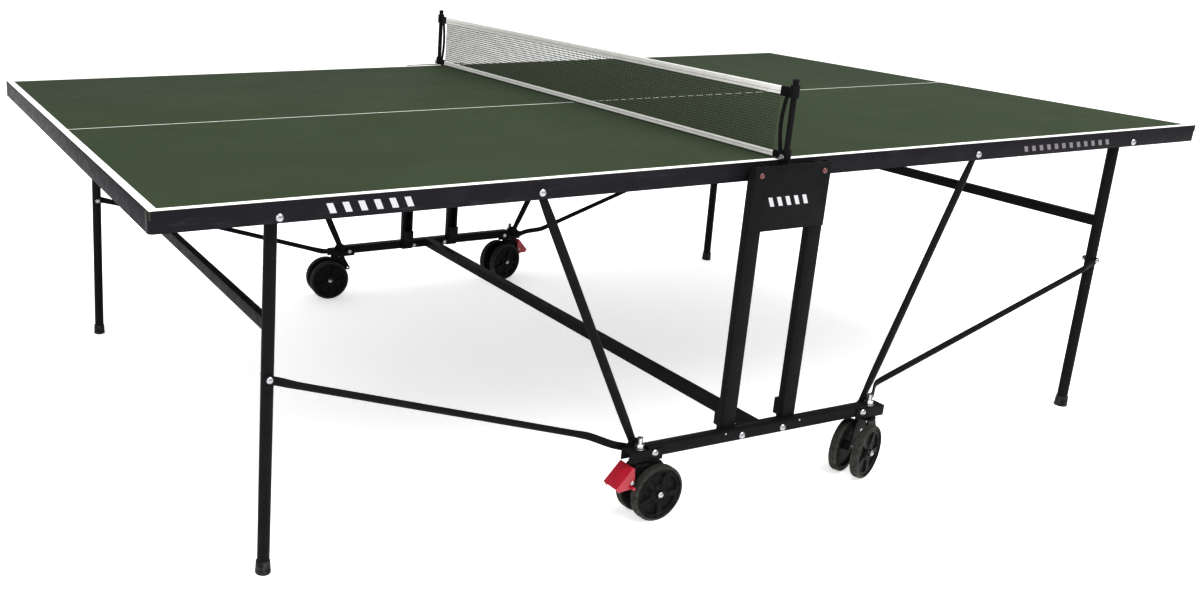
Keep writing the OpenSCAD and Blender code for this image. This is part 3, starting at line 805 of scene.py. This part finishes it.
class TABLE_OT_base(Operator):
    """Finishes the base tubes, guides, plates, brackets, buffers and slide blocks"""

    bl_idname = "table.base"
    bl_label = "Base"

    def execute(self, context):
        tube = sizes().tube_rounding
        sheet = sizes().sheet_rounding
        for row in ROWS:
            softened(row + "_base_rail", "steel", tube, 300 * MM, 3)
            softened(row + "_guides", "steel", 0.7 * MM, 40 * MM)
            softened(row + "_centre_plate", "steel", 0.8 * MM, 30 * MM, 3)
        softened("base_crossbar", "steel", tube, 100 * MM, 3)
        softened("caster_brackets", "steel", sheet, 15 * MM)
        softened("slide_buffers", "rubber", 1.0 * MM, 10 * MM)
        for side in SIDES:
            softened(side + "_slide_blocks", "guide", 1.2 * MM, 12 * MM)
        return {"FINISHED"}


class TABLE_OT_caps(Operator):
    """Makes the domed caps of the centre plates with their dark rings"""

    bl_idname = "table.caps"
    bl_label = "Plate caps"

    def execute(self, context):
        low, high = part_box("plate_caps")
        radius, proud, sunk = 6.5 * MM, 5 * MM, 2 * MM
        cap_x, cap_z = high.x - radius, (low.z + high.z) / 2
        face_y = high.y - proud
        caps, rings = bmesh.new(), bmesh.new()
        dome = [(0, -sunk), (radius, -sunk)]
        for degrees in range(90, -1, -15):
            a = math.radians(degrees)
            dome.append((radius * math.sin(a), proud * math.cos(a)))
        collar = metres((6.6, -1), (8.6, -1), (8.6, 0.5), (8.0, 1.2), (7.0, 1.2), (6.6, 0.6))
        for sx in SIGNS:
            for sy in SIGNS:
                place = aimed((sx * cap_x, sy * face_y, cap_z), Y * sy)
                turned(caps, dome, place, 32)
                turned(rings, collar, place, 32, closed=True)
        piece("plate_cap_domes", caps, "base", ["cap"], ["plate_caps"])
        piece("plate_cap_rings", rings, "base", ["rubber"])
        return {"FINISHED"}


class TABLE_OT_stems(Operator):
    """Makes the threaded caster stems with their washers, nuts and sleeves"""

    bl_idname = "table.stems"
    bl_label = "Caster stems"

    def execute(self, context):
        low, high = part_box("caster_stems")
        core, crest, head, washer = 5.15 * MM, 6 * MM, 9 * MM, 12 * MM
        thread_start, nut_bottom, nut_flats, nut_height = 175.2 * MM, 165 * MM, 19 * MM, 10 * MM
        stem_x, stem_y = high.x - washer, high.y - washer
        pitch = sizes().thread_pitch
        stem = [(0, low.z), (head, low.z), (head, low.z + 4.4 * MM), (crest, low.z + 4.6 * MM)]
        stem.append((crest, thread_start))
        height = thread_start
        while height < high.z - 2.5 * MM:
            stem += [(core, height + 0.45 * pitch), (crest, height + 0.95 * pitch)]
            height += pitch
        stem += [(5.0 * MM, high.z - 0.6 * MM), (3.6 * MM, high.z), (0, high.z)]
        sleeve = metres((6.2, 134.4), (9.6, 134.4), (10, 134.8), (10, 159.9), (6.2, 159.9))
        disc = metres((6.2, 163.1), (11.7, 163.1), (12, 163.4), (12, 164.6), (11.6, 165), (6.2, 165))
        bm = bmesh.new()
        for sx in SIGNS:
            for sy in SIGNS:
                place = Matrix.Translation((sx * stem_x, sy * stem_y, 0))
                turned(bm, stem, place, 28)
                turned(bm, sleeve, place, 32, closed=True)
                turned(bm, disc, place, 40, closed=True)
                hex_nut(bm, place @ Matrix.Translation((0, 0, nut_bottom)), nut_flats, nut_height)
        piece("caster_stem_threads", bm, "base", ["zinc"], ["caster_stems"], 30.0)
        return {"FINISHED"}


# side and its sign, paint, distance from the middle, number, pitch and width of the bars, and their
# share of the stripe height
RAIL_STRIPES = (
    ("left", -1, "stripe", 0.87, 6, 0.031, 0.013, 1.0),
    ("right", 1, "faint", 0.745, 12, 0.026, 0.012, 0.7),
)
RAIL_STRIPE_BASE, PLATE_STRIPE_BASE, PLATE_STRIPE_HEIGHT = 0.730, 0.670, 0.020


class TABLE_OT_stripes(Operator):
    """Paints plain slanted stripes on the plates and aprons"""

    bl_idname = "table.stripes"
    bl_label = "Stripes"

    def slanted(self, count, pitch, bar, base, height, outward, place):
        """A centred row of bars that lean the same way on both sides, seen from outside"""
        bm = bmesh.new()
        half = ((count - 1) * pitch + bar) / 2
        for k in range(count):
            x0 = k * pitch - half
            block(bm, (x0, -0.5 * MM, 0), (x0 + bar, 0.2 * MM, height))
        lean = Matrix.Identity(4)
        lean[0][2] = 0.45
        lift = Matrix.Translation((0, 0, base))
        if outward < 0:
            lift = lift @ Matrix.Rotation(math.pi, 4, "Z")
        for matrix in (lean, lift, Matrix.Translation(place)):
            bmesh.ops.transform(bm, matrix=matrix, verts=bm.verts)
        return bm

    def execute(self, context):
        tall = sizes().stripe_height
        for side, sx, paint, start, count, pitch, bar, share in RAIL_STRIPES:
            _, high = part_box(side + "_side_rails")
            centre = sx * (start + ((count - 1) * pitch + bar) / 2)
            for row, sy in zip(ROWS, SIGNS):
                place = (centre, sy * high.y, 0)
                bm = self.slanted(count, pitch, bar, RAIL_STRIPE_BASE, tall * share, sy, place)
                piece(f"{side}_{row}_stripes", bm, side + "_half", [paint])
        for row, sy in zip(ROWS, SIGNS):
            low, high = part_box(row + "_centre_plate")
            place = (0, high.y if sy > 0 else low.y, 0)
            bm = self.slanted(5, 0.023, 0.011, PLATE_STRIPE_BASE, PLATE_STRIPE_HEIGHT, sy, place)
            piece(row + "_plate_stripes", bm, "base", ["stripe"])
        return {"FINISHED"}


# ---- Casters -------------------------------------------------------------


class TABLE_OT_casters(Operator):
    """Makes the wheels and finishes the forks and axles"""

    bl_idname = "table.casters"
    bl_label = "Casters"

    def execute(self, context):
        for corner in CORNERS:
            softened(corner + "_fork", "steel", 0.5 * MM, 5 * MM)
            plated(corner + "_axle")
            wheels = [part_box(f"{corner}_{which}_wheel") for which in ("outer", "inner")]
            centres = [(low + high) / 2 for low, high in wheels]
            axis = (centres[0] - centres[1]).normalized()
            for which, centre, way in zip(("outer", "inner"), centres, (axis, -axis)):
                self.wheel(f"{corner}_{which}", centre, way)
        return {"FINISHED"}

    def wheel(self, name, centre, outward):
        """A wheel whose pocketed face looks outward"""
        r, half, hub, rim, tyre = 64, 9.5, 20, 49, 57
        web, back, lip = half - 2.5, 5 - half, half - 0.9
        groove = r - sizes().tread_groove / MM
        pockets = sizes().wheel_pockets
        sector, pocket_share, pocket_wall = 360 / pockets, 0.76, 1.4 * MM
        profile = metres(
            (5.06, -half), (11, -half), (12, back), (49.5, back), (51, -half), (60.5, -half),
            (62.8, 1.1 - half), (r, 3.4 - half), (r, -3.4), (groove, -3.0), (groove, -2.2), (r, -1.8),
            (r, 1.8), (groove, 2.2), (groove, 3.0), (r, 3.4), (r, half - 3.4), (62.8, half - 1.1),
            (61, half), (57.5, half), (56.6, lip), (56, web), (rim, web), (hub, web), (16.5, web),
            (15.5, lip), (9.5, lip), (9, web), (5.06, web),
        )
        bm = bmesh.new()
        turned(bm, profile, Matrix.Identity(4), 12 * pockets, closed=True)
        bm.normal_update()
        for face in bm.faces:
            middle = face.calc_center_median()
            # Faces out on the tyre take the tread finish, whose lighter grey is partly a painted highlight
            # from above.
            if math.hypot(middle.x, middle.y) > tyre * MM:
                face.material_index = 1
        for k in range(pockets):
            chosen = []
            for face in bm.faces:
                middle = face.calc_center_median()
                radius = math.hypot(middle.x, middle.y)
                turn = (math.degrees(math.atan2(middle.y, middle.x)) - k * sector) % 360
                on_web = face.normal.z > 0.9 and (hub + 0.5) * MM < radius < (rim - 0.5) * MM
                if on_web and turn < pocket_share * sector:
                    chosen.append(face)
            bmesh.ops.inset_region(bm, faces=chosen, thickness=pocket_wall, use_even_offset=True)
            verts = unique(v for face in chosen for v in face.verts)
            bmesh.ops.translate(bm, vec=(0, 0, -sizes().pocket_depth), verts=verts)
        bmesh.ops.transform(bm, matrix=aimed(centre, outward), verts=bm.verts)
        node = name + "_wheel"
        piece(name + "_roller", bm, body_of(node), ["wheel", "tread"], [node], 30.0)


class TABLE_OT_pedals(Operator):
    """Makes the red brake pedals"""

    bl_idname = "table.pedals"
    bl_label = "Brake pedals"

    def execute(self, context):
        for corner in BRAKED:
            softened(corner + "_pedal", "pedal", 1.0 * MM, 8 * MM, 3)
        return {"FINISHED"}


# ---- Net -----------------------------------------------------------------


POST_Y = 771 * MM
# from the ends of the CAD net to the middles of the posts
NET_TO_POST = 23 * MM
# bottom, top, half thickness and extra half thickness of the cord pocket, in millimetres
TOP_TAPE, LOW_TAPE = (894.5, 912.0, 1.5, 0.5), (762.5, 774.5, 1.1, 0.0)


class TABLE_OT_net(Operator):
    """Makes the net and its two tapes"""

    bl_idname = "table.net"
    bl_label = "Net"

    def execute(self, context):
        low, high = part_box("net")
        reach = high.y - sizes().net_gap + NET_TO_POST
        tuck = 1.5 * MM
        low_z, high_z = low.z - tuck, high.z + tuck
        across, up = 2 * reach, high_z - low_z
        cell = sizes().net_cell
        bm = bmesh.new()
        stand = Matrix((
            (0, 0, 1, 0),
            (across, 0, 0, 0),
            (0, up, 0, (low_z + high_z) / 2),
            (0, 0, 0, 1),
        ))
        bmesh.ops.create_grid(
            bm, x_segments=round(across / cell), y_segments=round(up / cell), size=0.5, matrix=stand
        )
        bmesh.ops.wireframe(
            bm,
            faces=bm.faces,
            thickness=sizes().net_thread,
            offset=0.5,
            use_replace=True,
            use_boundary=True,
            use_even_offset=True,
        )
        net = piece("net_mesh", bm, "base", ["net"], ["net"], 80.0)
        tapes = [
            self.tape("net_top_tape", "top_tape", *TOP_TAPE),
            self.tape("net_low_tape", "low_tape", *LOW_TAPE),
        ]
        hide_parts("net_tapes")
        return {"FINISHED"}

    def tape(self, name, finish, bottom, top, half, bead):
        """A folded tape, thicker by bead along its upper edge"""
        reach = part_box("net_tapes")[1].y
        fold = half + bead
        outline = [
            (half * 0.8, bottom), (half, bottom + 0.8), (half * 0.85, (bottom + top) / 2),
            (fold, top - 3.5), (fold, top - 1.6), (fold * 0.6, top - 0.3), (0, top),
        ]
        outline += [(-x, z) for x, z in reversed(outline[:-1])]
        bm = bmesh.new()
        verts = [bm.verts.new((x * MM, -reach, z * MM)) for x, z in outline]
        face = bm.faces.new(verts)
        bmesh.ops.extrude_face_region(bm, geom=[face], use_keep_orig=True)
        moved = [v for v in bm.verts if v not in verts]
        bmesh.ops.translate(bm, vec=(0, 2 * reach, 0), verts=moved)
        bmesh.ops.recalc_face_normals(bm, faces=bm.faces)
        return piece(name, bm, "base", [finish])


class TABLE_OT_posts(Operator):
    """Makes the net posts with their clips, tension rods and clamp screws"""

    bl_idname = "table.posts"
    bl_label = "Net posts"

    def execute(self, context):
        low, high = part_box("net_posts")
        radius, foot_height, plate_half, plate_top = 6 * MM, 6 * MM, 14 * MM, 754 * MM
        foot, top = low.z + foot_height, high.z
        post = [
            (0, foot), (radius, foot), (radius, top - 6 * MM), (radius + 0.8 * MM, top - 5.6 * MM),
            (radius + 0.8 * MM, top - 1.6 * MM), (radius - 0.8 * MM, top - 0.2 * MM), (0, top),
        ]
        screw = metres((0, 0), (3, 0), (3, 1), (5.6, 1.2), (6, 1.8), (6, 4.6), (5.2, 5), (0, 5))
        steel, zinc = bmesh.new(), bmesh.new()
        for sy in SIGNS:
            centre = Vector((0, sy * POST_Y, 0))
            turned(steel, post, Matrix.Translation(centre), 36)
            y0, y1 = sorted((sy * (POST_Y - 5.5 * MM), sy * high.y))
            block(steel, (-plate_half, y0, low.z), (plate_half, y1, low.z + 8 * MM), 1.0 * MM)
            y0, y1 = sorted((sy * (POST_Y + 2 * MM), sy * high.y))
            block(steel, (-plate_half, y0, foot), (plate_half, y1, plate_top), 1.0 * MM)
            y0, y1 = sorted((sy * (POST_Y - sizes().clip_reach), sy * POST_Y))
            for bottom, height in metres((762.3, 15), (892, 20.5)):
                block(steel, (-4 * MM, y0, bottom), (4 * MM, y1, bottom + height), 1.2 * MM)
                lip = bottom + height + 5 * MM
                collar = [
                    (radius - 0.5 * MM, bottom), (9 * MM, bottom), (9.6 * MM, bottom + 0.6 * MM),
                    (9.6 * MM, lip), (9 * MM, lip + 0.6 * MM), (radius - 0.5 * MM, lip + 0.6 * MM),
                ]
                turned(steel, collar, Matrix.Translation(centre), 32, closed=True)
            self.rod(steel, sy)
            turned(zinc, screw, aimed((-9 * MM, sy * POST_Y, 768 * MM), -X), 24)
        piece("net_posts_finished", steel, "base", ["steel"], ["net_posts"])
        piece("net_post_screws", zinc, "base", ["zinc"])
        return {"FINISHED"}

    def rod(self, bm, sy):
        """The bowed rod between the two clips of one post"""
        bottom, top, steps = 772 * MM, 898 * MM, 12
        stations = []
        for step in range(steps + 1):
            t = step / steps
            inwards = (18 * t + 17 * (1 - t)) * MM + sizes().bow * math.sin(math.pi * t)
            y = sy * (POST_Y - inwards)
            stations.append(((0, y, bottom + (top - bottom) * t), 3.4 * MM, 4.4 * MM))
        oval_tube(bm, stations, thin=Y)


# ---- Stage ---------------------------------------------------------------


# name (also of its power setting), size, place and target of each light
LIGHTS = (
    ("key", 5.0, (0.6, -2.2, 5.2), (0.0, 0.0, 0.2)),
    ("fill", 3.5, (-4.6, -2.6, 2.8), (0.0, 0.0, 0.4)),
)
CAMERA_PLACE = (-1.85720, -2.64924, 1.26869)
CAMERA_RIGHT, CAMERA_UP = (0.917295, -0.397615, 0.021739), (0.098767, 0.280061, 0.954888)
WHITE = (1.0, 1.0, 1.0, 1.0)


class TABLE_OT_stage(Operator):
    """Makes the floor, the soft lights and the camera"""

    bl_idname = "table.stage"
    bl_label = "Stage"

    def execute(self, context):
        scene = context.scene
        look = scene.table_stage
        bm = bmesh.new()
        bmesh.ops.create_grid(bm, x_segments=1, y_segments=1, size=40.0)
        mesh = bpy.data.meshes.new("floor")
        bm.to_mesh(mesh)
        bm.free()
        floor = bpy.data.objects.new("floor", mesh)
        scene.collection.objects.link(floor)
        n = Nodes("pale_floor")
        n.feed("Base Color", mottled(n, look.floor, 0.01, 0.7))
        n.shader.inputs["Roughness"].default_value = 0.9
        n.shader.inputs["Emission Color"].default_value = WHITE
        n.shader.inputs["Emission Strength"].default_value = look.glow
        n.shader.inputs["Specular IOR Level"].default_value = 0.1
        mesh.materials.append(n.material)

        world = bpy.data.worlds.new("surround")
        scene.world = world
        world.use_nodes = True
        background = world.node_tree.nodes["Background"]
        background.inputs["Color"].default_value = WHITE
        background.inputs["Strength"].default_value = look.sky
        for name, size, place, target in LIGHTS:
            self.light(name, getattr(look, name), size, place, target)

        camera = bpy.data.cameras.new("camera")
        camera.sensor_width = 36.0
        camera.sensor_fit = "HORIZONTAL"
        camera.lens = look.lens
        camera.shift_x = look.shift_x
        camera.shift_y = look.shift_y
        camera.clip_start, camera.clip_end = 0.05, 200.0
        eye = bpy.data.objects.new("camera", camera)
        right, up = Vector(CAMERA_RIGHT), Vector(CAMERA_UP)
        turn = Matrix((right, up, right.cross(up))).transposed()
        eye.matrix_world = Matrix.Translation(CAMERA_PLACE) @ turn.to_4x4()
        scene.collection.objects.link(eye)
        scene.camera = eye
        scene.view_settings.view_transform = "Standard"
        scene.view_settings.look = "None"
        scene.view_settings.gamma = look.gamma
        return {"FINISHED"}

    def light(self, name, power, size, place, target):
        data = bpy.data.lights.new(name, "AREA")
        data.energy = power
        data.shape = "DISK"
        data.size = size
        made = bpy.data.objects.new(name, data)
        made.location = place
        made.rotation_euler = (Vector(target) - Vector(place)).to_track_quat("-Z", "Y").to_euler()
        bpy.context.scene.collection.objects.link(made)


# ---- Panel and registration ----------------------------------------------


OPERATORS = (
    TABLE_OT_stage,
    TABLE_OT_boards,
    TABLE_OT_lines,
    TABLE_OT_aprons,
    TABLE_OT_fasteners,
    TABLE_OT_legs,
    TABLE_OT_links,
    TABLE_OT_base,
    TABLE_OT_caps,
    TABLE_OT_stems,
    TABLE_OT_stripes,
    TABLE_OT_casters,
    TABLE_OT_pedals,
    TABLE_OT_posts,
    TABLE_OT_net,
)


class TABLE_PT_panel(Panel):
    """Sizes, colours and steps of the table"""

    bl_label = "Table Tennis Table"
    bl_idname = "TABLE_PT_panel"
    bl_space_type = "VIEW_3D"
    bl_region_type = "UI"
    bl_category = "Table"

    def draw(self, context):
        scene = context.scene
        for group in (scene.table_sizes, scene.table_colours, scene.table_stage):
            box = self.layout.box()
            for key in group.__annotations__:
                box.prop(group, key)
        for operator in OPERATORS:
            self.layout.operator(operator.bl_idname)


CLASSES = (TableSizes, TableColours, StageLook, *OPERATORS, TABLE_PT_panel)


def register():
    for cls in CLASSES:
        bpy.utils.register_class(cls)
    bpy.types.Scene.table_sizes = PointerProperty(type=TableSizes)
    bpy.types.Scene.table_colours = PointerProperty(type=TableColours)
    bpy.types.Scene.table_stage = PointerProperty(type=StageLook)


def unregister():
    del bpy.types.Scene.table_stage
    del bpy.types.Scene.table_colours
    del bpy.types.Scene.table_sizes
    for cls in reversed(CLASSES):
        bpy.utils.unregister_class(cls)


def main():
    register()
    for operator in OPERATORS:
        group, name = operator.bl_idname.split(".")
        getattr(getattr(bpy.ops, group), name)()


if __name__ == "__main__":
    main()
